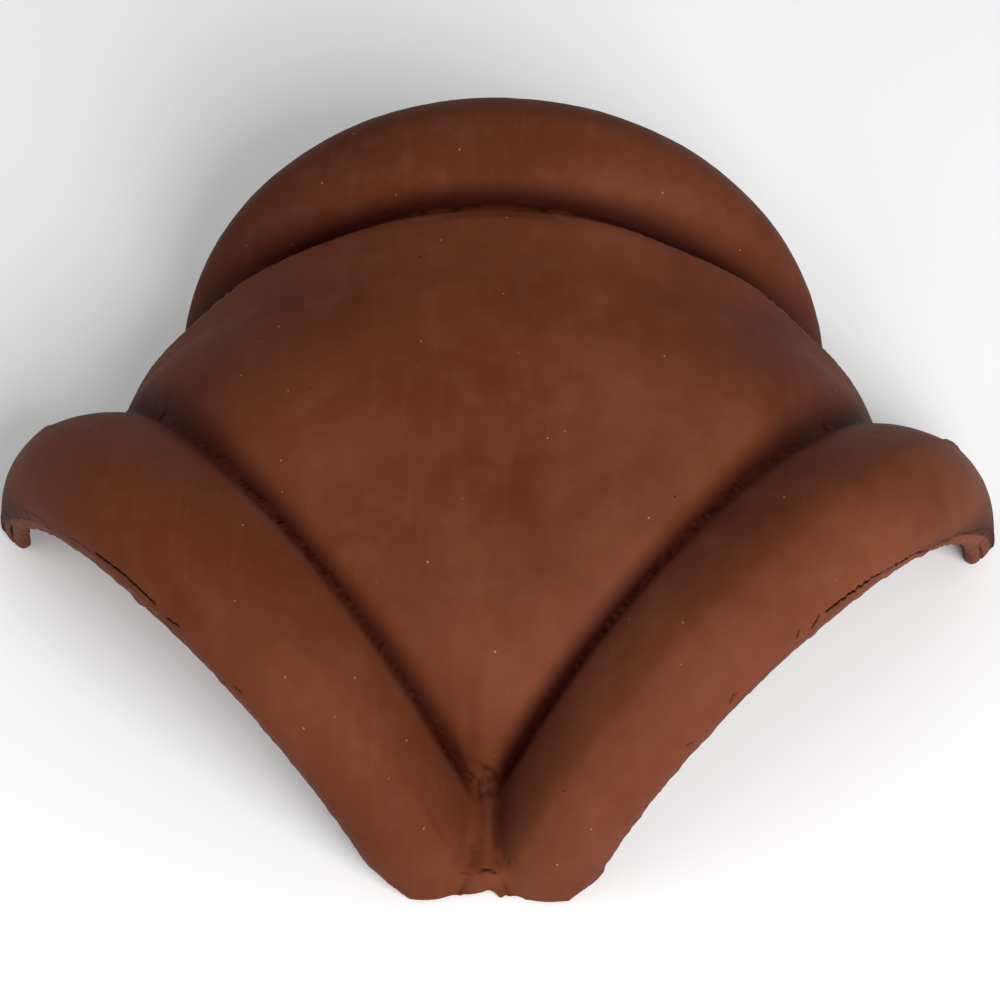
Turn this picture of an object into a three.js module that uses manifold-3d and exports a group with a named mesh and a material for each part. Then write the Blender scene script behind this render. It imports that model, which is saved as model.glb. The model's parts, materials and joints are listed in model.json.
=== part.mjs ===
// A three-way ridge junction tile of fired clay: one short ridge arm at the back and two hip arms in front,
// each ending in a raised round collar, over a smooth hollow dome. Millimetres, +Z up, ridge arm along +Y.
import * as THREE from 'three';
import { mergeVertices } from 'three/addons/utils/BufferGeometryUtils.js';
import Module from 'manifold-3d';

const wasm = await Module();
wasm.setup();

// Plan of the arms: bearings in degrees from +X, falls in degrees below the horizontal
const RIDGE_BEARING = 90;
const HIP_TURN = 135;
const RIDGE_FALL = 11;
const HIP_FALL = 9.5;
const RIDGE_REACH = 95.5;
const HIP_REACH = 175;
const CROSSING_HEIGHT = -1;

// Section of the arms: the barrel of the dome, the groove beside each collar, the bead and its rim
const WALL = 11;
const DOME_RADIUS = 139;
const GROOVE_RADIUS = 124.5;
const BEAD_RADIUS = 150;
const RIM_RADIUS = 131;
const ARCH_SQUEEZE = 0.97;
const BEAD_WIDTH = 63;
const BEAD_CROWN_SHARE = 0.54;
const BEAD_ROUNDNESS = 1.4;
const RIM_TURN = 0.96;
const BEAD_TAPER = 0.1;
const SHOULDER_WIDTH = 14;
const SHOULDER_DEPTH = 20;
const SHOULDER_ROUNDNESS = 1.25;
const SHOULDER_STEEPNESS = 4;

// How the three barrels run into one dome: the web between the hips, the webs beside the ridge, the crown
const FRONT_WEB = 2.5;
const SIDE_WEB = 0.65;
const CROWN_RISE = -0.11;
const CROWN_SHARPNESS = 4;
const LEAST_SPREAD = 0.001;

// The spine and the lip where the two hip collars meet in front
const SPINE_SETBACK = 5;
const SPINE_TOP = 27;
const SPINE_BACK_WIDTH = 4.5;
const SPINE_FRONT_WIDTH = 12;
const LIP_HEIGHT = 13;
const LIP_BATTER = 3;
const LIP_SETBACK = 1;

// How finely the curved faces are cut
const DOME_STEPS = 84;
const HOLLOW_STEPS = 54;
const COLLAR_STEPS = 60;
const BEAD_STEPS = 5;
const SHOULDER_STEPS = 5;

const CLAY_COLOUR = 0x6b3322;
const CLAY_ROUGHNESS = 0.62;

const crossing = new THREE.Vector3(0, 0, CROSSING_HEIGHT);

// An arm's frame: side points right of the arm as seen from the crossing, along runs out of the mouth and
// falls, over is square to both. wideSide is the side on which its bead is wider: the back of each hip.
function makeArm(bearing, fall, reach, wideSide) {
  const turn = THREE.MathUtils.degToRad(bearing);
  const drop = THREE.MathUtils.degToRad(fall);
  const level = new THREE.Vector3(Math.cos(turn), Math.sin(turn), 0);
  const side = new THREE.Vector3(level.y, -level.x, 0);
  const along = level.clone().multiplyScalar(Math.cos(drop));
  along.z = -Math.sin(drop);
  const over = level.clone().multiplyScalar(Math.sin(drop));
  over.z = Math.cos(drop);
  const frame = new THREE.Matrix4().makeBasis(side, along, over).setPosition(crossing);
  return { side, along, frame, reach, wideSide };
}

const arms = [
  makeArm(RIDGE_BEARING, RIDGE_FALL, RIDGE_REACH, 0),
  makeArm(RIDGE_BEARING + HIP_TURN, HIP_FALL, HIP_REACH, 1),
  makeArm(RIDGE_BEARING - HIP_TURN, HIP_FALL, HIP_REACH, -1)
];
const [ridge, leftHip, rightHip] = arms;

// A bead is wider at one foot than at the other: the factor on its width at a sideways offset
function beadTaper(arm, offset) {
  return 1 + BEAD_TAPER * arm.wideSide * offset / BEAD_RADIUS;
}

// Only the positions of a geometry, each shared corner once
function toCorners(geometry) {
  const bare = geometry.clone();
  bare.deleteAttribute('normal');
  bare.deleteAttribute('uv');
  return mergeVertices(bare);
}

// A closed geometry becomes a solid
function toSolid(geometry) {
  const merged = toCorners(geometry);
  const corners = merged.index.array;
  const kept = [];
  for (let i = 0; i < corners.length; i += 3) {
    const [a, b, c] = [corners[i], corners[i + 1], corners[i + 2]];
    if (a !== b && b !== c && c !== a) {
      kept.push(a, b, c);
    }
  }
  return new wasm.Manifold(new wasm.Mesh({
    numProp: 3,
    vertProperties: new Float32Array(merged.attributes.position.array),
    triVerts: new Uint32Array(kept)
  }));
}

// How much longer the way to an arm's barrel is than its radius, in a direction from the crossing
function stretch(arm, direction) {
  const share = Math.max(direction.dot(arm.along), 0);
  return 1 / Math.sqrt(Math.max(1 - share * share, LEAST_SPREAD)) - 1;
}

function blend(a, b, sharpness) {
  return (a ** sharpness + b ** sharpness) ** (1 / sharpness);
}

// A quarter round: 0 at share 0, rising steeply at first, to 1 at share 1; a roundness of 1 is a straight slope
function quarterRound(share, roundness = 2) {
  const rest = 1 - THREE.MathUtils.clamp(share, 0, 1);
  return (1 - rest ** roundness) ** (1 / roundness);
}

// Distance from the crossing to the dome in one direction: the three barrels blend into one vault
function domeDistance(direction) {
  const front = blend(stretch(leftHip, direction), stretch(rightHip, direction), FRONT_WEB);
  const web = blend(front, stretch(ridge, direction), SIDE_WEB);
  const rise = CROWN_RISE * Math.max(direction.z, 0) ** CROWN_SHARPNESS;
  const squeeze = Math.hypot(direction.x / ARCH_SQUEEZE, direction.y / ARCH_SQUEEZE, direction.z);
  return DOME_RADIUS * (1 + web + rise) / squeeze;
}

// An outline turned about an arm, squeezed across the arch; the outline runs along the arm as [radius, place]
function turnAbout(arm, outline) {
  const geometry = new THREE.LatheGeometry(outline.map(([x, y]) => new THREE.Vector2(x, y)), COLLAR_STEPS);
  const places = geometry.attributes.position;
  for (let i = 0; i < places.count; i += 1) {
    const offset = places.getX(i) * ARCH_SQUEEZE;
    const fromRim = arm.reach - places.getY(i);
    const factor = fromRim > 0 ? beadTaper(arm, offset) : 1;
    places.setXY(i, offset, arm.reach - fromRim * factor);
  }
  geometry.applyMatrix4(arm.frame);
  return toSolid(geometry);
}

// All that lies under an arm's shoulder: the dome rounds down to the groove and runs on under the bead. In
// the hollow it starts earlier, so that the wall keeps its thickness on the slope.
function makeShoulder(arm, inset) {
  const groove = arm.reach - BEAD_WIDTH - inset / 2;
  const back = -2 * BEAD_RADIUS;
  const above = SHOULDER_STEEPNESS * (groove - SHOULDER_WIDTH - back);
  const outline = [[0, back], [GROOVE_RADIUS + SHOULDER_DEPTH + above - inset, back]];
  for (let step = SHOULDER_STEPS; step >= 0; step -= 1) {
    const share = step / SHOULDER_STEPS;
    const rise = SHOULDER_DEPTH * quarterRound(share, SHOULDER_ROUNDNESS);
    outline.push([GROOVE_RADIUS + rise - inset, groove - SHOULDER_WIDTH * share]);
  }
  outline.push([GROOVE_RADIUS - inset, groove + BEAD_WIDTH / 2]);
  outline.push([0, groove + BEAD_WIDTH / 2]);
  return turnAbout(arm, outline);
}

// The dome as a closed solid, set in by inset along its own normals and rounded down to each arm's groove
function makeDome(inset, steps) {
  const geometry = toCorners(new THREE.SphereGeometry(1, steps, steps / 2).rotateX(Math.PI / 2));
  const places = geometry.attributes.position;
  const place = new THREE.Vector3();
  for (let i = 0; i < places.count; i += 1) {
    place.fromBufferAttribute(places, i).normalize();
    place.multiplyScalar(domeDistance(place)).add(crossing);
    places.setXYZ(i, place.x, place.y, place.z);
  }
  geometry.computeVertexNormals();
  const normals = geometry.attributes.normal;
  for (let i = 0; i < places.count; i += 1) {
    place.fromBufferAttribute(normals, i).multiplyScalar(-inset);
    places.setXYZ(i, places.getX(i) + place.x, places.getY(i) + place.y, places.getZ(i) + place.z);
  }
  let dome = toSolid(geometry);
  for (const arm of arms) {
    dome = dome.intersect(makeShoulder(arm, inset));
  }
  return dome;
}

// Radius of a bead at a share of its width from the groove: a round rise to its crown, a round fall to the rim
function beadRadius(share) {
  if (share < BEAD_CROWN_SHARE) {
    return GROOVE_RADIUS + (BEAD_RADIUS - GROOVE_RADIUS) * quarterRound(share / BEAD_CROWN_SHARE, BEAD_ROUNDNESS);
  }
  const past = (share - BEAD_CROWN_SHARE) / (1 - BEAD_CROWN_SHARE);
  const least = quarterRound(1 - RIM_TURN);
  const left = (quarterRound(1 - RIM_TURN * past) - least) / (1 - least);
  return RIM_RADIUS + (BEAD_RADIUS - RIM_RADIUS) * left;
}

// The round bead of a collar, turned about its arm, set in by inset across the arm and by half of it at both
// ends, and carried on past the rim by extra
function makeBead(arm, inset, extra) {
  const width = BEAD_WIDTH - inset;
  const start = arm.reach - BEAD_WIDTH + inset / 2;
  const outline = [[0, start - inset], [GROOVE_RADIUS - inset, start - inset]];
  for (let step = 0; step <= 2 * BEAD_STEPS; step += 1) {
    const share = (1 - Math.cos(Math.PI * step / (2 * BEAD_STEPS))) / 2;
    outline.push([beadRadius(share) - inset, start + width * share]);
  }
  if (extra > 0) {
    outline.push([RIM_RADIUS - inset, arm.reach + extra]);
  }
  outline.push([0, arm.reach + extra]);
  return turnAbout(arm, outline);
}

// How far in front of the crossing an arm's plane lies: at a distance along a hip arm, in the middle of the tile
function frontOf(distance, height) {
  const past = distance + (height - crossing.z) * leftHip.along.z;
  return past / Math.abs(leftHip.along.y);
}

// Where the outer edge of a hip collar's rim meets the ground beside the lip
function rimFoot() {
  const over = new THREE.Vector3().setFromMatrixColumn(leftHip.frame, 2);
  const height = -(crossing.z + HIP_REACH * leftHip.along.z) / over.z;
  const offset = Math.sqrt(RIM_RADIUS ** 2 - height ** 2) * ARCH_SQUEEZE;
  return crossing.clone()
    .addScaledVector(leftHip.along, HIP_REACH)
    .addScaledVector(leftHip.side, -offset)
    .addScaledVector(over, height);
}

function makePrism(points, length) {
  const shape = new THREE.Shape(points.map(([x, y]) => new THREE.Vector2(x, y)));
  return new THREE.ExtrudeGeometry(shape, { depth: length, bevelEnabled: false });
}

// A side view in the YZ plane made into a prism that is centred across X
function makeCrossPrism(points, width) {
  const prism = makePrism(points, width);
  prism.rotateX(Math.PI / 2);
  prism.rotateZ(Math.PI / 2);
  prism.translate(-width / 2, 0, 0);
  return toSolid(prism);
}

// The spine that fills the valley between the two hip beads, narrow behind and wider at the lip, and the low
// lip along the front edge from one hip rim to the other
function makeFront() {
  const foot = rimFoot();
  const front = foot.y + LIP_SETBACK;
  const back = SPINE_SETBACK - frontOf(HIP_REACH - BEAD_WIDTH, SPINE_TOP);
  const width = 2 * (Math.abs(foot.x) + WALL);
  const plan = makePrism([
    [-SPINE_BACK_WIDTH / 2, back],
    [-SPINE_FRONT_WIDTH / 2, front],
    [SPINE_FRONT_WIDTH / 2, front],
    [SPINE_BACK_WIDTH / 2, back]
  ], SPINE_TOP);
  const side = makeCrossPrism([
    [front, 0],
    [back, 0],
    [back, SPINE_TOP],
    [front + LIP_BATTER, LIP_HEIGHT]
  ], width);
  const lip = makeCrossPrism([
    [front, 0],
    [back, 0],
    [back, LIP_HEIGHT],
    [front + LIP_BATTER, LIP_HEIGHT]
  ], width);
  return toSolid(plan).intersect(side).add(lip);
}

// Everything on the near side of each rim plane and above the ground
function makeKeep() {
  const size = 4 * HIP_REACH;
  const above = new THREE.BoxGeometry(size, size, size);
  above.translate(0, 0, size / 2);
  let keep = toSolid(above);
  for (const arm of arms) {
    const behind = new THREE.BoxGeometry(size, size, size);
    behind.translate(0, arm.reach - size / 2, 0);
    behind.applyMatrix4(arm.frame);
    keep = keep.intersect(toSolid(behind));
  }
  return keep;
}

function makeTile() {
  let body = makeDome(0, DOME_STEPS);
  let hollow = makeDome(WALL, HOLLOW_STEPS);
  for (const arm of arms) {
    body = body.add(makeBead(arm, 0, 0));
    hollow = hollow.add(makeBead(arm, WALL, WALL));
  }
  return body.add(makeFront()).intersect(makeKeep()).subtract(hollow);
}

// The solid's mesh, with the origin moved to the middle of its outline on the ground
function toGeometry(solid) {
  const mesh = solid.getMesh();
  const geometry = new THREE.BufferGeometry();
  geometry.setAttribute('position', new THREE.Float32BufferAttribute(mesh.vertProperties, 3));
  geometry.setIndex(Array.from(mesh.triVerts));
  geometry.computeBoundingBox();
  const middle = geometry.boundingBox.getCenter(new THREE.Vector3());
  geometry.translate(-middle.x, -middle.y, 0);
  geometry.computeVertexNormals();
  return geometry;
}

const clay = new THREE.MeshStandardMaterial({ color: CLAY_COLOUR, roughness: CLAY_ROUGHNESS, metalness: 0 });
const tile = new THREE.Mesh(toGeometry(makeTile()), clay);
tile.name = 'ridge_junction_tile';

const group = new THREE.Group();
group.add(tile);

export default group;
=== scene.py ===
# %% [markdown]
# A three-way ridge junction tile of fired clay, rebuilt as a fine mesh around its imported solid.
# The tile was pressed in a mould while the clay was soft: a smooth hollow dome, three round collars
# around three open mouths, and edges that a hand trimmed with a wire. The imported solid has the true
# sizes but flat facets and crisp corners. This lesson starts from a copy of it, gives it fine curves,
# softens every groove as wet clay softens it, roughens the trimmed edges, and gives it a clay finish.

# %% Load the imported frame
import json
import math

import bmesh
import bpy
import numpy as np
from mathutils import Matrix, Vector, noise


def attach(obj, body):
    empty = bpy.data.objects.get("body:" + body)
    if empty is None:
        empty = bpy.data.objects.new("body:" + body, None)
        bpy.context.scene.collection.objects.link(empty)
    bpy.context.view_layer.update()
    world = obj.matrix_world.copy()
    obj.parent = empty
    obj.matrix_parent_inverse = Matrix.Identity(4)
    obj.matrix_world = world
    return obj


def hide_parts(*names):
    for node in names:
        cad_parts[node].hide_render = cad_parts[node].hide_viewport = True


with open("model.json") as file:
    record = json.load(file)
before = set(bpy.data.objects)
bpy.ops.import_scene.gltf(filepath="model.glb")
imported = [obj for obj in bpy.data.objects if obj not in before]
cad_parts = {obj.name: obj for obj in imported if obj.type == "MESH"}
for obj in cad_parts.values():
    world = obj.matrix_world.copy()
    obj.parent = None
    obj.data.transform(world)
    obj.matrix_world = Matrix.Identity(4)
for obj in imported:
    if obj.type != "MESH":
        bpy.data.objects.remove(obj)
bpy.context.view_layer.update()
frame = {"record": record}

NODE = "ridge_junction_tile"

# %% [markdown]
# Every size below is the solid's own size in metres. The three arms meet at one point, the crossing,
# and each arm has three directions of its own: along runs out of the mouth and falls, side points to
# its right, and over stands square on both. The record's mount on the ridge mouth tells where the
# crossing sits in the frame, so nothing has to be fitted by eye.

# %% Sizes of the arms and of their section
MM = 0.001
RIDGE_FALL, HIP_FALL, HIP_TURN = 11.0, 9.5, 135.0
RIDGE_REACH, HIP_REACH = 95.5 * MM, 175 * MM
WALL = 11 * MM
DOME_RADIUS, GROOVE_RADIUS = 139 * MM, 124.5 * MM
BEAD_RADIUS, RIM_RADIUS = 150 * MM, 131 * MM
BEAD_CROWN_SHARE, BEAD_ROUNDNESS, RIM_TURN = 0.54, 1.4, 0.96
ARCH_SQUEEZE = 0.97
FRONT_WEB, SIDE_WEB, CROWN_RISE, CROWN_SHARPNESS, LEAST_SPREAD = 2.5, 0.65, -0.11, 4, 0.001


class Arm:
    def __init__(self, name, bearing, fall, reach, wide_side, width, taper):
        turn, drop = math.radians(bearing), math.radians(fall)
        level, up = np.array((math.cos(turn), math.sin(turn), 0)), np.array((0, 0, 1))
        self.name, self.reach, self.wide_side = name, reach, wide_side
        self.width, self.taper = width, taper
        self.side = np.array((level[1], -level[0], 0))
        self.along = level * math.cos(drop) - up * math.sin(drop)
        self.over = level * math.sin(drop) + up * math.cos(drop)

    def read(self, points):
        way = points - crossing
        return way @ self.side, way @ self.along, way @ self.over

    def collar(self, side):
        return self.width * (1 + self.taper * self.wide_side * side / BEAD_RADIUS)


ridge = Arm("ridge", 90, RIDGE_FALL, RIDGE_REACH, 0, 63 * MM, 0)
left_hip = Arm("left_hip", 90 + HIP_TURN, HIP_FALL, HIP_REACH, 1, 62 * MM, 0.19)
right_hip = Arm("right_hip", 90 - HIP_TURN, HIP_FALL, HIP_REACH, -1, 63.2 * MM, 0.16)
arms = [ridge, left_hip, right_hip]
crown = np.array(next(m for m in frame["record"]["mounts"] if m["name"] == "ridge_mouth")["pos_m"])
crossing = crown - ridge.along * RIDGE_REACH - ridge.over * (RIM_RADIUS - WALL / 2)
print("the arms cross at", crossing.round(5))

# %% [markdown]
# The fine mesh starts from a copy of the solid, merged and remeshed into even small squares. That
# keeps the solid's form and its hollow. The squares are too coarse for the grooves, the trimmed rims
# and the spine, so the faces there are subdivided once more.

# %% A copy of the solid in even squares
VOXEL = 2.4 * MM
tile = bpy.data.objects.new("clay_tile", bpy.data.objects[NODE].data.copy())
bpy.context.scene.collection.objects.link(tile)
bm = bmesh.new()
bm.from_mesh(tile.data)
bmesh.ops.remove_doubles(bm, verts=bm.verts, dist=0.01 * MM)
bm.to_mesh(tile.data)
bm.free()
remesh = tile.modifiers.new("even squares", "REMESH")
remesh.mode, remesh.voxel_size, remesh.adaptivity = "VOXEL", VOXEL, 0
ready = tile.evaluated_get(bpy.context.evaluated_depsgraph_get())
squares = bpy.data.meshes.new_from_object(ready)
tile.modifiers.clear()
tile.data = squares
print("even squares:", len(squares.polygons))

# %% [markdown]
# The true outside is a few plain forms run together. The dome is one distance for every direction
# from the crossing, a collar is a turned outline, and the spine and the lip in front are a ridge and a
# low wall. For any point, each form gives its distance, minus when inside. The least of them is the
# tile's outside, and a soft least rounds the inner corners, as a wet finger does on the real clay.

# %% The turned outline of a collar
OUTLINE_STEPS = 16


def quarter_round(share, roundness=2.0):
    rest = 1 - np.clip(share, 0, 1)
    return (1 - rest ** roundness) ** (1 / roundness)


def bead_radius(share):
    rise = quarter_round(share / BEAD_CROWN_SHARE, BEAD_ROUNDNESS)
    past = (share - BEAD_CROWN_SHARE) / (1 - BEAD_CROWN_SHARE)
    least = quarter_round(1 - RIM_TURN)
    left = (quarter_round(1 - RIM_TURN * np.clip(past, 0, 1)) - least) / (1 - least)
    front = GROOVE_RADIUS + (BEAD_RADIUS - GROOVE_RADIUS) * rise
    return np.where(past < 0, front, RIM_RADIUS + (BEAD_RADIUS - RIM_RADIUS) * left)


steps = np.linspace(0, 1, OUTLINE_STEPS)
shares = np.concatenate((BEAD_CROWN_SHARE * steps ** 2, BEAD_CROWN_SHARE + (1 - BEAD_CROWN_SHARE) * steps[1:]))
outline = np.stack((shares * ridge.width, bead_radius(shares)), axis=1)
outline = np.concatenate((((0, 0),), outline))


def bead_gap(arm, points):
    side, along, over = arm.read(points)
    share = np.minimum(1 - (arm.reach - along) / arm.collar(side), 1)
    radius = np.hypot(side / ARCH_SQUEEZE, over)
    place = np.stack((share * ridge.width, radius), axis=1)
    nearest = np.full(len(points), np.inf)
    for start, way in zip(outline[:-1], np.diff(outline, axis=0)):
        reached = np.clip((place - start) @ way / (way @ way), 0, 1)
        nearest = np.minimum(nearest, np.linalg.norm(place - start - reached[:, None] * way, axis=1))
    return np.where((share > 0) & (radius < bead_radius(share)), -nearest, nearest)


print("collar outline:", len(outline), "points")

# %% [markdown]
# Beside a collar the dome dips to the groove. The dip is short at the ridge, where the dome ends in a
# crisp horizon, and long and gentle at the hips. It fades towards the back foot of each hip, where the
# flank of the dome runs almost straight into the collar.

# %% The dome, with its dips
RIDGE_DIP, HIP_DIP, DIP_POWER, BACK_FADE = 6 * MM, 34 * MM, 2.2, 0.35
FADE_FROM, FADE_TO = 70 * MM, 125 * MM


def stretch(arm, way):
    share = np.maximum(way @ arm.along, 0)
    return 1 / np.sqrt(np.maximum(1 - share * share, LEAST_SPREAD)) - 1


def blend(a, b, sharpness):
    return (a ** sharpness + b ** sharpness) ** (1 / sharpness)


def ease(share):
    share = np.clip(share, 0, 1)
    return share * share * (3 - 2 * share)


def dip(arm, points):
    side, along, over = arm.read(points)
    groove = arm.reach - arm.collar(side)
    reach = HIP_DIP if arm.wide_side else RIDGE_DIP
    depth = (1 - np.clip((groove - along) / reach, 0, 1)) ** DIP_POWER
    fade = ease((side * arm.wide_side - FADE_FROM) / (FADE_TO - FADE_FROM))
    return (DOME_RADIUS - GROOVE_RADIUS) * depth * (1 - (1 - BACK_FADE) * fade)


def dome_gap(points):
    way = points - crossing
    distance = np.linalg.norm(way, axis=1)
    way = way / distance[:, None]
    front = blend(stretch(left_hip, way), stretch(right_hip, way), FRONT_WEB)
    web = blend(front, stretch(ridge, way), SIDE_WEB)
    rise = CROWN_RISE * np.maximum(way[:, 2], 0) ** CROWN_SHARPNESS
    squeeze = np.linalg.norm(way / (ARCH_SQUEEZE, ARCH_SQUEEZE, 1), axis=1)
    full = DOME_RADIUS * (1 + web + rise) / squeeze
    return distance - full * (1 - np.max([dip(arm, points) for arm in arms], axis=0) / DOME_RADIUS)


# %% The spine and the lip in front
SPINE_TOP, SPINE_BACK, SPINE_HALF, SPINE_FLARE, SPINE_SPREAD = 20.5 * MM, -129 * MM, 1.1 * MM, 1.4 * MM, 0.6
LIP_HEIGHT, LIP_BATTER = 13 * MM, 0.2
SPINE_SOFTNESS, LIP_SOFTNESS, FAR_AWAY = 4 * MM, 1.6 * MM, 1.0


def soft_least(a, b, softness):
    mix = np.maximum(softness - abs(a - b), 0) / softness
    return np.minimum(a, b) - mix * mix * softness / 4


def rim_foot():
    height = -(crossing[2] + HIP_REACH * left_hip.along[2]) / left_hip.over[2]
    side = -math.sqrt(RIM_RADIUS ** 2 - height ** 2) * ARCH_SQUEEZE
    return crossing + left_hip.side * side + left_hip.along * HIP_REACH + left_hip.over * height


spine_front = rim_foot()[1] + 1 * MM


def spine_gap(points):
    across, depth, height = points.T
    share = np.clip((SPINE_BACK - depth) / (SPINE_BACK - spine_front), 0, 1)
    top = SPINE_TOP + (LIP_HEIGHT - SPINE_TOP) * share - np.maximum(depth - SPINE_BACK, 0)
    half = SPINE_HALF + SPINE_FLARE * share + SPINE_SPREAD * np.maximum(top - height, 0)
    inside = soft_least(half - abs(across), top - height, LIP_SOFTNESS)
    return -soft_least(inside, depth - spine_front, LIP_SOFTNESS)


def lip_gap(points):
    across, depth, height = points.T
    face = depth - spine_front - height * LIP_BATTER
    gap = -soft_least(face, LIP_HEIGHT - height, LIP_SOFTNESS)
    return np.where(depth < SPINE_BACK, gap, FAR_AWAY)


# %% The whole outside
HIP_SOFTNESS, RIDGE_SOFTNESS, VALLEY_SOFTNESS = 6 * MM, 4 * MM, 2.5 * MM


def outside(points):
    dome, back = dome_gap(points), bead_gap(ridge, points)
    left, right, spine = bead_gap(left_hip, points), bead_gap(right_hip, points), spine_gap(points)
    hips = soft_least(left, right, VALLEY_SOFTNESS)
    body = soft_least(soft_least(dome, back, RIDGE_SOFTNESS), hips, HIP_SOFTNESS)
    gap = soft_least(soft_least(body, spine, SPINE_SOFTNESS), lip_gap(points), SPINE_SOFTNESS)
    return gap, np.sort((dome, back, left, right, spine), axis=0)[1]


print("front corner:", round(spine_front, 4))

# %% [markdown]
# Now the squares are refined and laid on that outside. Each point goes down the slope of the distance
# until the distance is nothing. Points of the hollow are a wall's thickness away and stay, and so do
# those on the cut faces, which lie close to a plane of a rim or of the foot.

# %% Refine, then lay the squares on the outside
FINE_BAND, CUT_BAND, LONGEST_STEP, PROBE = 4 * MM, 3.5 * MM, 2.5 * MM, 0.2 * MM
SURE_DEPTH, LAY_DEPTH = 4 * MM, 9 * MM
HOLLOW_MARGIN, HOLLOW_RATIO, LEAST_WALL = 9 * MM, 0.66, 7 * MM


def places():
    return np.array([vert.co for vert in bm.verts])


def to_cut(points):
    return np.min([points[:, 2]] + [arm.reach - arm.read(points)[1] for arm in arms], axis=0)


def to_hip_cut(points):
    return np.min([arm.reach - arm.read(points)[1] for arm in (left_hip, right_hip)], axis=0)


def smooth(verts, rounds):
    for _ in range(rounds):
        bmesh.ops.smooth_vert(bm, verts=verts, factor=0.5, use_axis_x=True, use_axis_y=True, use_axis_z=True)


def arrays():
    bm.normal_update()
    return places(), np.array([vert.normal for vert in bm.verts])


def put_back(points, moved):
    bm.verts.ensure_lookup_table()
    for index in np.flatnonzero(moved):
        bm.verts[index].co = points[index]


def slope_at(points, gap):
    return np.stack([(outside(points + step)[0] - gap) / PROBE for step in np.eye(3) * PROBE], axis=1)


def outer_face():
    points, normals = arrays()
    gap = outside(points)[0]
    slope = slope_at(points, gap)
    close = (gap > -SURE_DEPTH) | ((slope * normals).sum(axis=1) > -0.3)
    return points, gap, slope, close & (gap > -np.minimum(LAY_DEPTH, 0.8 * MM + 0.8 * to_cut(points)))


def lay_on_outside(rounds):
    for _ in range(rounds):
        points, gap, slope, face = outer_face()
        step = np.clip(gap / np.maximum((slope ** 2).sum(axis=1), 0.4), -LONGEST_STEP, LONGEST_STEP)
        put_back(points - slope * step[:, None], face)
        smooth([vert for vert, moved in zip(bm.verts, face) if moved], 1)


def keep_wall():
    points, normals = arrays()
    gap = outside(points)[0]
    slope = slope_at(points, gap)
    thin = ((slope * normals).sum(axis=1) < -0.3) & (gap > -LEAST_WALL) & (to_cut(points) > 4 * MM)
    put_back(points - slope * (gap + LEAST_WALL)[:, None], thin)
    return thin


def finish_modifiers():
    made = bpy.data.meshes.new_from_object(tile.evaluated_get(bpy.context.evaluated_depsgraph_get()))
    tile.modifiers.clear()
    tile.data = made


def refine(wanted):
    edges = [edge for edge in bm.edges if all(wanted[vert.index] for vert in edge.verts)]
    bmesh.ops.subdivide_edges(bm, edges=edges, cuts=1, use_grid_fill=True)
    bm.verts.ensure_lookup_table()
    bm.verts.index_update()


bm = bmesh.new()
bm.from_mesh(tile.data)
smooth(bm.verts, 4)
for _ in range(3):
    pushed = keep_wall()
    smooth([vert for vert, push in zip(bm.verts, pushed) if push], 2)
print("hollow points pushed in:", pushed.sum())
lay_on_outside(7)
points = places()
hidden = np.flatnonzero((outside(points)[0] < -LEAST_WALL + MM) & (to_cut(points) > HOLLOW_MARGIN))
bm.to_mesh(tile.data)
bm.free()
tile.vertex_groups.new(name="hollow").add(hidden.tolist(), 1, "REPLACE")
thin_out = tile.modifiers.new("thin out the hollow", "DECIMATE")
thin_out.ratio, thin_out.vertex_group = HOLLOW_RATIO, "hollow"
finish_modifiers()
print("hollow thinned out:", len(tile.data.vertices), "points")

# %% Finer squares in grooves and on edges, all laid on the outside
bm = bmesh.new()
bm.from_mesh(tile.data)
points = places()
gap, second = outside(points)
refine((gap > -2 * MM) & (second < FINE_BAND) | (to_hip_cut(points) < CUT_BAND))
lay_on_outside(3)
print("refined and laid on:", len(bm.verts), "points")

# %% [markdown]
# The rims were trimmed with a wire and dried unevenly. For a point near a rim, the angle round the
# mouth and the way back from the rim tell where it is. The edge is cut back by a ragged amount, the
# feet are worn off at their corners, and fine cracks run just inside the outer edge.

# %% Finer squares on the rims of the hips
RIM_BAND, EDGE_RADIUS, FRONT_HALF = 2.4 * MM, 126 * MM, 24 * MM


def round_mouth(arm, points):
    side, along, over = arm.read(points)
    angle = np.degrees(np.arctan2(side / ARCH_SQUEEZE, over))
    return angle, arm.reach - along, np.hypot(side / ARCH_SQUEEZE, over)


points = places()
at_edge = np.zeros(len(points), bool)
for arm in (left_hip, right_hip):
    angle, back, radius = round_mouth(arm, points)
    at_edge |= (abs(back) < RIM_BAND) & (radius > EDGE_RADIUS) & (radius < BEAD_RADIUS) & (points[:, 2] > 2 * MM)
in_front = (abs(points[:, 0]) < FRONT_HALF) & (points[:, 1] < SPINE_BACK - 22 * MM) & (points[:, 2] > 2 * MM)
refine(at_edge | in_front & (outside(points)[0] > -SURE_DEPTH))
print("with fine rims:", len(bm.verts), "points")

# %% Ragged edges and worn feet
RAGGED, RAGGED_FINE = 0.9 * MM, 0.45 * MM
NOTCH, NOTCH_AT, NOTCH_HALF, BURR, BURR_AT, BURR_HALF = 2.2 * MM, 1.5 * MM, 2.6 * MM, 1.6 * MM, 6.4 * MM, 1.3 * MM
LEFT_FOOT, LEFT_WEAR = (-79, -77, -74, -71, -67), (5, 4, 2, 1, 0)
RIGHT_FOOT, RIGHT_WEAR = (71, 74, 76, 79), (0, 0.6, 1.5, 3)
CHIPS = {"left_hip": ((2.5, 1.9, 3.2), (8.5, 1.2, 2), (-8, 1.1, 1.2), (-21, 1.3, 1), (-34, 1.5, 1)),
         "right_hip": ((-30, 1.4, 2), (-17, 1.6, 1.4), (-8, 1.2, 1.5), (5, 1.3, 2), (19, 1.2, 1), (33, 1.5, 1))}


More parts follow.
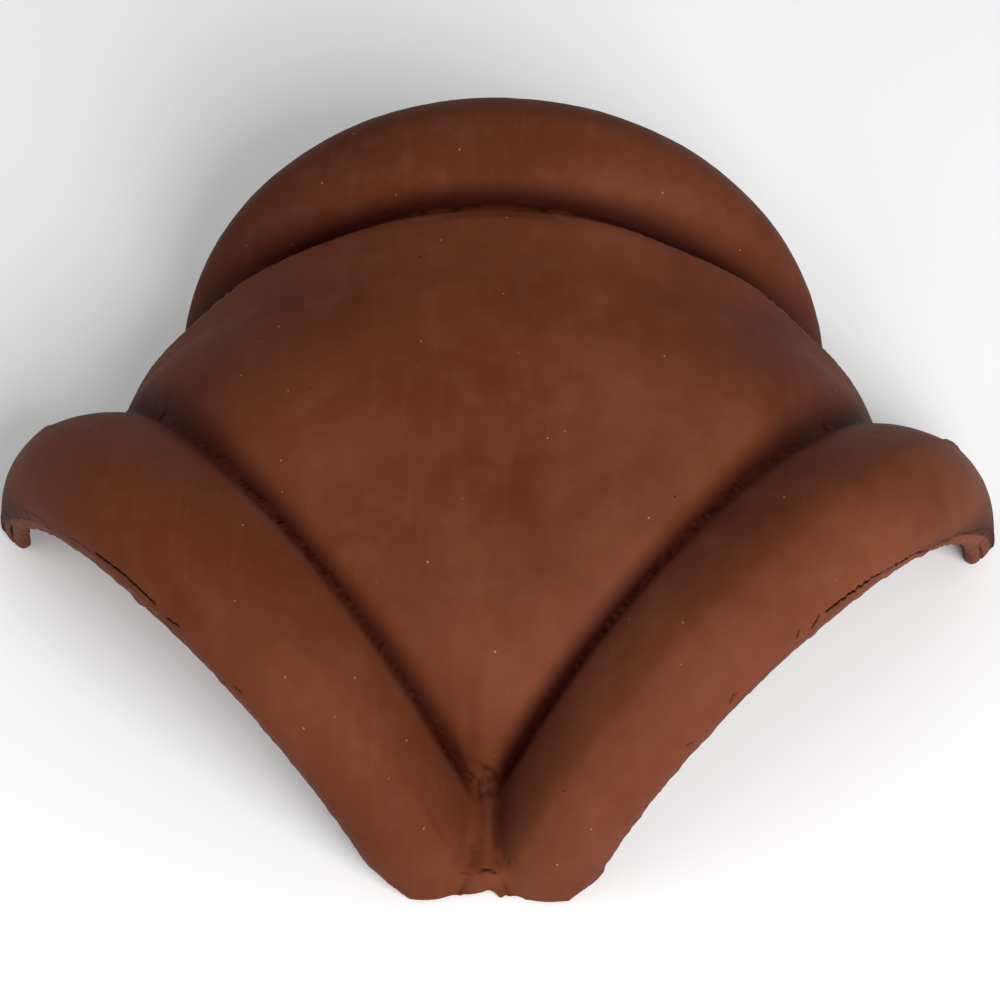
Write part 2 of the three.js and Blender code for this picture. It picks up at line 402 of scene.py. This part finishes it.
def ragged(points, size, seed):
    return np.array([noise.noise(Vector(point) / size + Vector((seed, 0, 0))) for point in points])


points, normals = arrays()
moved = np.zeros(len(points), bool)
for arm, seed in zip(arms, (3, 17, 31)):
    angle, back, radius = round_mouth(arm, points)
    near = np.flatnonzero((abs(back) < 4 * MM) & (radius < BEAD_RADIUS) & (radius > DOME_RADIUS - 3 * WALL))
    cut = np.zeros(len(points))
    cut[near] = (np.maximum(ragged(points[near], 7 * MM, seed), 0) * RAGGED
                 + np.maximum(ragged(points[near], 2.2 * MM, seed + 5), 0) * RAGGED_FINE)
    if arm is left_hip:
        cut += np.interp(angle, LEFT_FOOT, LEFT_WEAR) * MM
    if arm is right_hip:
        cut += np.interp(angle, RIGHT_FOOT, RIGHT_WEAR) * MM
    worn = (back < cut) & (abs(back) < 12 * MM) & (radius < BEAD_RADIUS) & (radius > DOME_RADIUS - 3 * WALL)
    points[worn] -= arm.along * (cut - back)[worn, None]
    moved |= worn
    inner = near[(back[near] < 2.5 * MM) & (radius[near] < EDGE_RADIUS)]
    outward = (points[inner] - crossing) - arm.along * ((points[inner] - crossing) @ arm.along)[:, None]
    outward /= np.linalg.norm(outward, axis=1)[:, None]
    lump = 1.1 * ragged(points[inner], 4.5 * MM, seed + 9)
    for middle, spread, rise in CHIPS.get(arm.name, ()):
        lump += rise * np.exp(-((angle[inner] - middle) / spread) ** 2)
    points[inner] -= outward * (lump * MM * ease(1 - back[inner] / (2.5 * MM)))[:, None]
    moved[inner] = True
notch = NOTCH * np.exp(-((points[:, 0] - NOTCH_AT) / NOTCH_HALF) ** 2) - BURR * np.exp(-((points[:, 0] - BURR_AT) / BURR_HALF) ** 2)
low = (points[:, 1] < spine_front + 8 * MM) & (points[:, 2] < LIP_HEIGHT / 2)
points[:, 1] += notch * low * ease(1 - points[:, 2] / (LIP_HEIGHT / 2))
put_back(points, moved | low)
print("ragged edge points:", moved.sum())

# %% Cracks along the outer edge of the hips
CRACKS = {"left_hip": (((13, 5, -4), (133.3, 134.4, 134), 1), ((42, 27, 14), (132.8, 130.8, 133), 0.3),
                       ((-7, -10), (132.8, 134.4), 0.9), ((-24, -26), (133.5, 134.2), 0.5),
                       ((82, 72, 63), (126, 126, 127.5), 1)),
          "right_hip": (((-40, -29, -18, -9, 2.5), (126, 125.5, 129, 132, 133.2), 1),
                        ((-54, -41), (130.5, 127), 0.35), ((4, 6.2), (134, 131.6), 0.9), ((8.6, 9.8), (135, 133), 0.8),
                        ((24, 26), (134.5, 133), 0.5), ((35, 36.5), (133, 134.5), 0.5),
                        ((-30, -27.6), (124, 125.5), 1), ((-82, -72, -65), (126, 126, 125), 0.8))}
FRONT_CREASES = ((1.2, 3.8, -159.6, 0.6), (-7.5, 2.2, -160.6, 0.35))
CRACK_HALF, CRACK_DEPTH, CRACK_ENDS, CREASE_BOW = 0.9 * MM, 0.8 * MM, 1.2, 0.07
CRACK_WANDER = {"left_hip": 0.5 * MM, "right_hip": 1.2 * MM}


def crack_line(arm, points):
    angle, back, radius = round_mouth(arm, points)
    line = np.zeros(len(points))
    near = np.flatnonzero((abs(back) < 5 * MM) & (radius > GROOVE_RADIUS - MM) & (radius < BEAD_RADIUS))
    wander = CRACK_WANDER[arm.name] * ragged(angle[near, None] * (MM, 0, 0), 0.9 * MM, 7)
    for angles, radii, weight in CRACKS[arm.name]:
        middle, half = (angles[0] + angles[-1]) / 2, abs(angles[-1] - angles[0]) / 2
        order = np.argsort(angles)
        path = np.interp(angle[near], np.array(angles)[order], np.array(radii)[order]) * MM
        ends = ease((half - abs(angle[near] - middle)) / CRACK_ENDS + 0.5)
        across = abs(radius[near] - path - wander)
        line[near] = np.maximum(line[near], weight * ends * ease(1 - across / CRACK_HALF))
    return line


points, normals = arrays()
cracks = np.maximum(crack_line(left_hip, points), crack_line(right_hip, points))
for middle, half, depth, weight in FRONT_CREASES:
    from_middle = abs(points[:, 0] / MM - middle)
    across = abs(points[:, 1] / MM - depth + CREASE_BOW * from_middle ** 2)
    crease = weight * ease((half - from_middle) / 2 + 0.5) * ease(1 - across / 1.1) * (outside(points)[0] > -SURE_DEPTH)
    cracks = np.maximum(cracks, crease * (points[:, 2] > 5 * MM))
put_back(points - normals * (cracks * CRACK_DEPTH)[:, None], cracks > 0)
print("cracked points:", (cracks > 0).sum())

# %% Hand-made unevenness, all over the outside
DENT, DENT_SIZE, KNOCK, KNOCK_SIZE = 0.5 * MM, 38 * MM, 0.12 * MM, 6 * MM
points, gap, slope, face = outer_face()
face &= to_cut(points) > 0
normals = slope / np.linalg.norm(slope, axis=1)[:, None]
dents = DENT * (ragged(points, DENT_SIZE, 50) - 0.5) + KNOCK * (ragged(points, KNOCK_SIZE, 60) - 0.5)
put_back(points + normals * (dents * ease(to_cut(points) / (8 * MM)))[:, None], face)

# %% Marks for the finish: painted shade in the grooves, and the cracks
RIDGE_SHADE, RIDGE_END_SHADE, HIP_SHADE, HIP_END_SHADE, SPINE_SHADE = 9 * MM, 15 * MM, 13 * MM, 21 * MM, 4.5 * MM


# The groove mark is painted shade: a band up the ridge collar just above the dome's horizon, and a band on both sides
# of each hip groove, wider towards the outer ends and narrow by the spine.
def painted_groove_shade():
    points, gap, slope, face = outer_face()
    second = outside(points)[1]
    side, along, over = ridge.read(points)
    turn = np.degrees(np.arctan2(abs(side), over))
    up_collar = np.maximum(along - ridge.reach + ridge.width, 0)
    behind = ease(1 - up_collar / (RIDGE_SHADE + RIDGE_END_SHADE * (turn / 50) ** 2)) * ease(along / (20 * MM) - 0.5)
    behind *= ease(1 - (ridge.reach - ridge.width - along) / (6 * MM))
    ends = ease((abs(points[:, 0]) - 80 * MM) / (60 * MM))
    front = ease((SPINE_BACK + 8 * MM - points[:, 1]) / (10 * MM))
    reach = HIP_SHADE + (HIP_END_SHADE - HIP_SHADE) * ends + (SPINE_SHADE - HIP_SHADE) * front
    hips = ease(1 - second / reach) * (1 - 0.3 * ends) * (1 - 0.45 * front) * (along < 25 * MM)
    return np.maximum(behind, hips) * (gap > -SURE_DEPTH)


points = places()
# The groove mark carries painted shade; the crack mark carries the cracks.
for name, values in (("groove", painted_groove_shade()), ("crack", cracks)):
    mark = bm.verts.layers.float.new(name)
    for vert, value in zip(bm.verts, values):
        vert[mark] = value
bmesh.ops.dissolve_degenerate(bm, dist=0.02 * MM, edges=bm.edges)
print("open edges:", sum(not edge.is_manifold for edge in bm.edges))
bm.to_mesh(tile.data)
bm.free()
tile.data.shade_smooth()
tile.data.calc_loop_triangles()
print("tile with its true curves:", len(tile.data.loop_triangles), "triangles")

# %% [markdown]
# The finish is iron-red clay, fired to a dull brown. Broad clouds from the kiln, fine mottling and
# faint streaks of the smoothing hand vary it, with a few pale grains of sand and small dark pits. All
# of them read Object coordinates, so the pattern stays fixed in the clay. Towards the left the clay is
# painted darker as painted shade, and it is darker towards the back. The grooves carry painted shade
# and the cracks are darker, from the marks on the mesh, and a faint sheen gives the dusty edge of
# unglazed clay.

# %% Small helpers for the finish
class Finish:
    def __init__(self, name):
        self.material = bpy.data.materials.new(name)
        self.material.use_nodes = True
        self.tree = self.material.node_tree
        self.shader = self.tree.nodes["Principled BSDF"]
        self.where = self.tree.nodes.new("ShaderNodeTexCoord").outputs["Object"]

    def node(self, kind, output, links=None, **values):
        made = self.tree.nodes.new(kind)
        for name, value in values.items():
            setattr(made, name, value)
        for socket, source in (links or {}).items():
            if isinstance(source, bpy.types.NodeSocket):
                self.tree.links.new(source, made.inputs[socket])
            else:
                made.inputs[socket].default_value = source
        return made.outputs[output]

    def stretched(self, scale, shift=(0, 0, 0)):
        return self.node("ShaderNodeMapping", "Vector", {"Vector": self.where, "Scale": scale, "Location": shift})

    def noise(self, vector, scale, detail=2.0, rough=0.5):
        links = {"Vector": vector, "Scale": scale, "Detail": detail, "Roughness": rough}
        return self.node("ShaderNodeTexNoise", "Fac", links)

    def span(self, value, low, high, to_low=0.0, to_high=1.0):
        links = {"Value": value, "From Min": low, "From Max": high, "To Min": to_low, "To Max": to_high}
        return self.node("ShaderNodeMapRange", "Result", links)

    def math(self, operation, a, b):
        return self.node("ShaderNodeMath", "Value", {0: a, 1: b}, operation=operation)

    def mix(self, share, a, b):
        made = self.tree.nodes.new("ShaderNodeMix")
        made.data_type = "RGBA"
        for index, source in ((0, share), (6, a), (7, b)):
            if isinstance(source, bpy.types.NodeSocket):
                self.tree.links.new(source, made.inputs[index])
            else:
                made.inputs[index].default_value = source
        return made.outputs[2]

    def spots(self, scale, size, rarity, shift):
        cells = self.tree.nodes.new("ShaderNodeTexVoronoi")
        cells.inputs["Scale"].default_value = scale
        self.tree.links.new(self.stretched((1, 1, 1), shift), cells.inputs["Vector"])
        chosen = self.node("ShaderNodeSeparateColor", "Red", {"Color": cells.outputs["Color"]})
        inside = self.span(cells.outputs["Distance"], size, size * 0.5)
        return self.math("MULTIPLY", inside, self.span(chosen, rarity, rarity + 0.02))

    def mark(self, name):
        return self.node("ShaderNodeAttribute", "Fac", attribute_name=name)


# %% The clay finish
# The near-black groove colour is painted shade in the grooves, and the dark warm colour mixed in towards the left is
# painted shade on that side.
DARK_CLAY, LIGHT_CLAY, LEFT_PAINTED_SHADE = (0.088, 0.021, 0.008, 1), (0.158, 0.0465, 0.022, 1), (0.085, 0.018, 0.0045, 1)
GROOVE_PAINTED_SHADE, CRACK_CLAY, DUST = (0.018, 0.0012, 0.0002, 1), (0.006, 0.001, 0.0005, 1), (0.15, 0.062, 0.04, 1)
SAND, PIT, BACK_DARK_CLAY = (0.27, 0.145, 0.085, 1), (0.03, 0.01, 0.006, 1), (0.046, 0.0095, 0.003, 1)


def clay_finish():
    clay = Finish("fired clay")
    clouds = clay.noise(clay.stretched((1, 1, 1)), 11, 3, 0.55)
    mottle = clay.noise(clay.stretched((1, 1, 1), (0.3, 0.1, 0)), 75, 5, 0.62)
    streaks = clay.noise(clay.stretched((1, 0.1, 0.14)), 150, 3, 0.6)
    colour = clay.mix(clay.span(clouds, 0.3, 0.72), DARK_CLAY, LIGHT_CLAY)
    across = clay.node("ShaderNodeSeparateXYZ", "X", {"Vector": clay.where})
    depth = clay.node("ShaderNodeSeparateXYZ", "Y", {"Vector": clay.where})
    # Painted shade: towards the left the clay is mixed into a darker, more saturated brown.
    colour = clay.mix(clay.span(across, 0.03, -0.13, 0.0, 0.5), colour, LEFT_PAINTED_SHADE)
    # Darker towards the back, and most on the left half.
    back_dark = clay.math("MULTIPLY", clay.span(depth, 0.08, 0.13, 0.0, 0.6), clay.span(across, 0.13, 0.0, 0.25, 1.0))
    colour = clay.mix(back_dark, colour, BACK_DARK_CLAY)
    colour = clay.mix(clay.span(depth, -0.06, -0.14, 0.0, 0.4), colour, DARK_CLAY)
    colour = clay.mix(clay.span(mottle, 0.5, 0.75, 0.0, 0.2), colour, DUST)
    colour = clay.mix(clay.span(mottle, 0.5, 0.3, 0.0, 0.3), colour, DARK_CLAY)
    colour = clay.mix(clay.span(streaks, 0.52, 0.8, 0.0, 0.22), colour, LIGHT_CLAY)
    sand = clay.spots(150, 0.09, 0.82, (0.05, 0.02, 0))
    pits = clay.spots(95, 0.06, 0.86, (0.4, 0.3, 0.1))
    colour = clay.mix(sand, colour, SAND)
    colour = clay.mix(pits, colour, PIT)
    # Painted shade: the grooves are mixed towards a near-black brown by the groove mark.
    colour = clay.mix(clay.span(clay.mark("groove"), 0.0, 0.85, 0.0, 0.95), colour, GROOVE_PAINTED_SHADE)
    colour = clay.mix(clay.span(clay.mark("crack"), 0.05, 0.6), colour, CRACK_CLAY)
    clay.tree.links.new(colour, clay.shader.inputs["Base Color"])
    clay.tree.links.new(clay.span(mottle, 0.3, 0.7, 0.5, 0.66), clay.shader.inputs["Roughness"])
    height = clay.math("ADD", clay.math("MULTIPLY", mottle, 0.6), clay.math("MULTIPLY", streaks, 0.1))
    height = clay.math("ADD", height, clay.math("MULTIPLY", sand, 0.4))
    height = clay.math("SUBTRACT", height, clay.math("MULTIPLY", pits, 0.7))
    bump = clay.node("ShaderNodeBump", "Normal", {"Height": height, "Strength": 0.35, "Distance": 0.0006})
    clay.tree.links.new(bump, clay.shader.inputs["Normal"])
    clay.shader.inputs["Specular IOR Level"].default_value = 0.03
    clay.shader.inputs["Sheen Weight"].default_value = 0.015
    clay.shader.inputs["Sheen Roughness"].default_value = 0.45
    clay.shader.inputs["Sheen Tint"].default_value = (0.8, 0.66, 0.66, 1)
    return clay.material


tile.data.materials.clear()
tile.data.materials.append(clay_finish())
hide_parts(NODE)
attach(tile, "root")

# %% [markdown]
# The tile stands on a plain pale floor under soft studio light, as in a catalogue. One large lamp
# hangs high on the right in front, and a weaker one fills the left, so the collars keep their shade.

# %% Floor, light and camera
def make_object(name, bm):
    mesh = bpy.data.meshes.new(name)
    bm.to_mesh(mesh)
    bm.free()
    piece = bpy.data.objects.new(name, mesh)
    bpy.context.scene.collection.objects.link(piece)
    return piece


def make_floor():
    bm = bmesh.new()
    bmesh.ops.create_grid(bm, x_segments=1, y_segments=1, size=6)
    floor = make_object("floor", bm)
    paper = bpy.data.materials.new("pale paper")
    paper.use_nodes = True
    paper.node_tree.nodes["Principled BSDF"].inputs["Base Color"].default_value = (0.9, 0.9, 0.9, 1)
    paper.node_tree.nodes["Principled BSDF"].inputs["Roughness"].default_value = 0.9
    floor.data.materials.append(paper)
    return floor


def make_lamp(name, place, size, power):
    data = bpy.data.lights.new(name, "AREA")
    data.shape, data.size, data.energy = "DISK", size, power
    lamp = bpy.data.objects.new(name, data)
    lamp.location = place
    lamp.rotation_euler = (Vector((0, 0, 0.06)) - Vector(place)).to_track_quat("-Z", "Y").to_euler()
    bpy.context.scene.collection.objects.link(lamp)


make_floor()
make_lamp("key", (0.95, -1.7, 1.3), 1.6, 68)
make_lamp("fill", (-1.5, -0.6, 1.3), 1.5, 6)
world = bpy.data.worlds.new("studio")
bpy.context.scene.world = world
world.use_nodes = True
world.node_tree.nodes["Background"].inputs["Color"].default_value = (1, 1, 1, 1)
world.node_tree.nodes["Background"].inputs["Strength"].default_value = 0.45
bpy.context.scene.view_settings.view_transform = "Standard"

# %% The camera at the photograph's angle
CAMERA_HEIGHT, CAMERA_TURN, CAMERA_ROLL = math.radians(52.85), math.radians(-2.19), math.radians(0.82)
CAMERA_DISTANCE, FRAME_PIXELS, FOCAL_PIXELS = 1.54, 1000, 3500
AIM_RIGHT_PIXELS, AIM_DOWN_PIXELS = 1.2, 23.1
SENSOR = 36


def make_camera():
    level = Vector((math.sin(CAMERA_TURN), math.cos(CAMERA_TURN), 0))
    sight = level * math.cos(CAMERA_HEIGHT) - Vector((0, 0, math.sin(CAMERA_HEIGHT)))
    up = level * math.sin(CAMERA_HEIGHT) + Vector((0, 0, math.cos(CAMERA_HEIGHT)))
    right = sight.cross(up)
    right, up = (right * math.cos(CAMERA_ROLL) - up * math.sin(CAMERA_ROLL),
                 right * math.sin(CAMERA_ROLL) + up * math.cos(CAMERA_ROLL))
    place = Vector((crossing[0], crossing[1], 0)) - sight * CAMERA_DISTANCE
    aim = (sight + right * AIM_RIGHT_PIXELS / FOCAL_PIXELS - up * AIM_DOWN_PIXELS / FOCAL_PIXELS).normalized()
    right = aim.cross(up).normalized()
    up = right.cross(aim)
    data = bpy.data.cameras.new("camera")
    data.sensor_width, data.lens = SENSOR, SENSOR * FOCAL_PIXELS / FRAME_PIXELS
    camera = bpy.data.objects.new("camera", data)
    camera.matrix_world = Matrix((right, up, -aim)).transposed().to_4x4()
    camera.location = place
    bpy.context.scene.collection.objects.link(camera)
    bpy.context.scene.camera = camera


make_camera()
